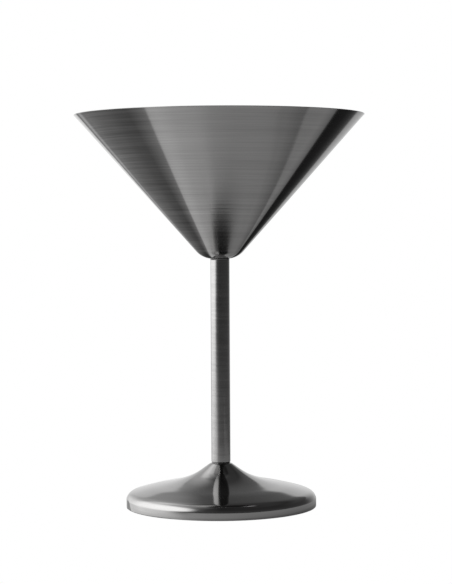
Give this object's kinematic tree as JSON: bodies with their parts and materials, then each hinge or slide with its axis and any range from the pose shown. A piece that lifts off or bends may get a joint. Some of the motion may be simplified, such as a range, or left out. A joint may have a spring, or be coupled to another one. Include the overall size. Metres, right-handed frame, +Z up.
{
  "type": "martini glass",
  "caption": "All-metal stemmed martini goblet: wide conical cup with a rounded bottom on a straight round stem and a flared round foot.",
  "frame": {"origin": "on the axis of the goblet, in the plane the foot stands on", "axes": "+Z up along the axis, from the foot to the rim; the shape is turned about it, so +X and +Y are any two square directions"},
  "size_m": [0.118, 0.118, 0.1593],
  "materials": {
    "bowl_steel": "dark gunmetal, brushed around the axis",
    "stem_steel": "dark gunmetal, brushed around the axis",
    "foot_steel": "dark gunmetal, fine spun and half polished",
    "base_steel": "dark gunmetal, spun satin",
    "stud_steel": "turned, bare",
    "joint_metal": "dark gunmetal, ground flush"
  },
  "bodies": {
    "root": {"bowl": "bowl_steel", "stem_tube": "stem_steel", "foot_shell": "foot_steel", "foot_base_plate": "base_steel", "bowl_stud": "stud_steel", "foot_stud": "stud_steel", "bowl_joint_ring": "joint_metal", "foot_joint_ring": "joint_metal"}
  },
  "joints": []
}
